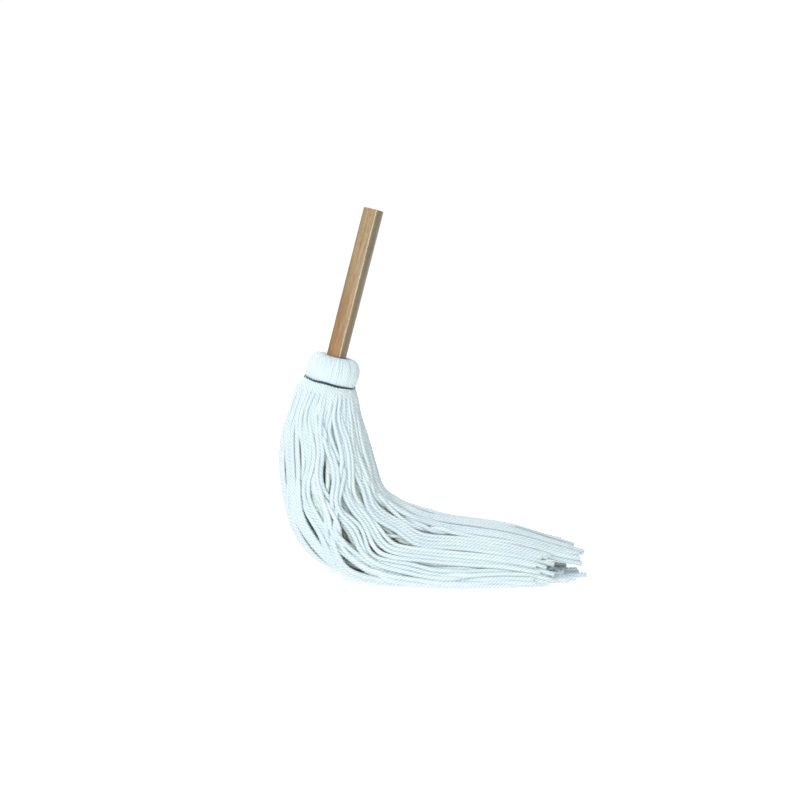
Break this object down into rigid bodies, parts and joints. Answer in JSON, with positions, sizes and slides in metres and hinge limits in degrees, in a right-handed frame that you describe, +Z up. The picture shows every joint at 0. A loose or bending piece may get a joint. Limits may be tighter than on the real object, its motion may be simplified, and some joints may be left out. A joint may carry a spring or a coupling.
{
  "type": "string mop",
  "caption": "Deck-style string mop: a round wooden handle, a folded yarn collar tied with twisted wire, and a loose yarn skirt trailing to one side.",
  "frame": {"origin": "on the floor, under the middle of the mop's box", "axes": "+X along the skirt's trail towards its cut ends, +Y across the skirt, +Z up; the handle leans towards +X by 14.6 degrees"},
  "size_m": [0.3711, 0.182, 0.437],
  "materials": {
    "lacquered_wood": "satin lacquer over fine straight grain",
    "yarn": "matt four-ply twisted cotton yarn",
    "dark_wire": "dark annealed wire",
    "nail_steel": "bright drawn wire"
  },
  "bodies": {
    "skirt": {"outer_lock_01": "yarn", "outer_lock_02": "yarn", "outer_lock_03": "yarn", "outer_lock_04": "yarn", "outer_lock_05": "yarn", "outer_lock_06": "yarn", "outer_lock_07": "yarn", "outer_lock_08": "yarn", "outer_lock_09": "yarn", "outer_lock_10": "yarn", "outer_lock_11": "yarn", "outer_lock_12": "yarn", "outer_lock_13": "yarn", "outer_lock_14": "yarn", "inner_lock_01": "yarn", "inner_lock_02": "yarn", "inner_lock_03": "yarn", "inner_lock_04": "yarn", "inner_lock_05": "yarn", "inner_lock_06": "yarn", "inner_lock_07": "yarn", "inner_lock_08": "yarn", "core_lock": "yarn"},
    "neck": {"neck_yarn": "yarn"},
    "head": {"handle": "lacquered_wood", "binding_wire": "dark_wire", "binding_nail": "nail_steel", "tie_wire": "dark_wire", "tie_wire_tail": "dark_wire", "collar_lock_01": "yarn", "collar_lock_02": "yarn", "collar_lock_03": "yarn", "collar_lock_04": "yarn", "collar_lock_05": "yarn", "collar_lock_06": "yarn", "collar_lock_07": "yarn", "collar_lock_08": "yarn", "collar_lock_09": "yarn", "collar_lock_10": "yarn", "collar_lock_11": "yarn", "collar_lock_12": "yarn"}
  },
  "joints": [
    {"name": "neck_side", "type": "hinge", "parent": "skirt", "child": "neck", "pos_m": [-0.1305, 0, 0.185], "axis": [1, 0, 0], "range_deg": [-20, 20]},
    {"name": "neck_sweep", "type": "hinge", "parent": "neck", "child": "head", "pos_m": [-0.1305, 0, 0.185], "axis": [0, 1, 0], "range_deg": [-35, 25]}
  ]
}
